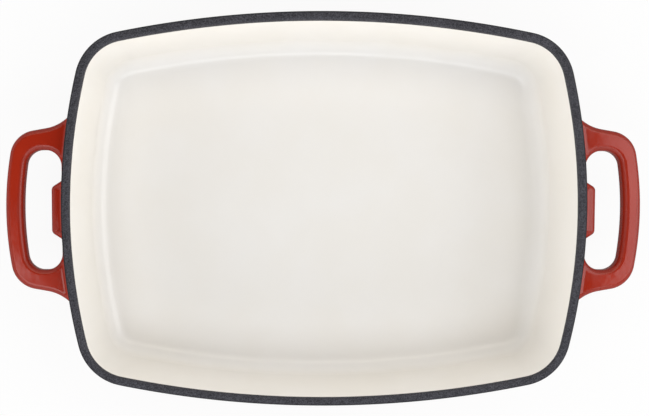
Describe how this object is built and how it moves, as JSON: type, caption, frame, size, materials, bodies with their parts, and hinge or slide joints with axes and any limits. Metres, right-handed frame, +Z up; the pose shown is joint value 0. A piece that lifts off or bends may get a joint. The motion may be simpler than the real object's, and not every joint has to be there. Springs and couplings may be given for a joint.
{
  "type": "rectangular enamelled cast-iron baking dish",
  "caption": "Deep rectangular baking dish with bowed sides, rounded corners, loop handles at the ends, red enamel outside, cream enamel inside and a matt black rim.",
  "frame": {"origin": "middle of the foot's resting plane, on the centre of the dish", "axes": "+X along the dish from handle to handle, +Y across it, +Z up out of its mouth"},
  "size_m": [0.452, 0.2772, 0.065],
  "materials": {
    "iron": "as cast, hidden under the enamel",
    "red_enamel": "glossy red vitreous enamel",
    "cream_enamel": "glossy cream vitreous enamel",
    "black_rim": "matt black ground-coat enamel with a fine grain",
    "black_base": "matt black ground-coat enamel"
  },
  "bodies": {
    "root": {"iron_casting": "iron", "red_outer_enamel": "red_enamel", "cream_inner_enamel": "cream_enamel", "black_rim_enamel": "black_rim", "black_base_enamel": "black_base"}
  },
  "joints": []
}
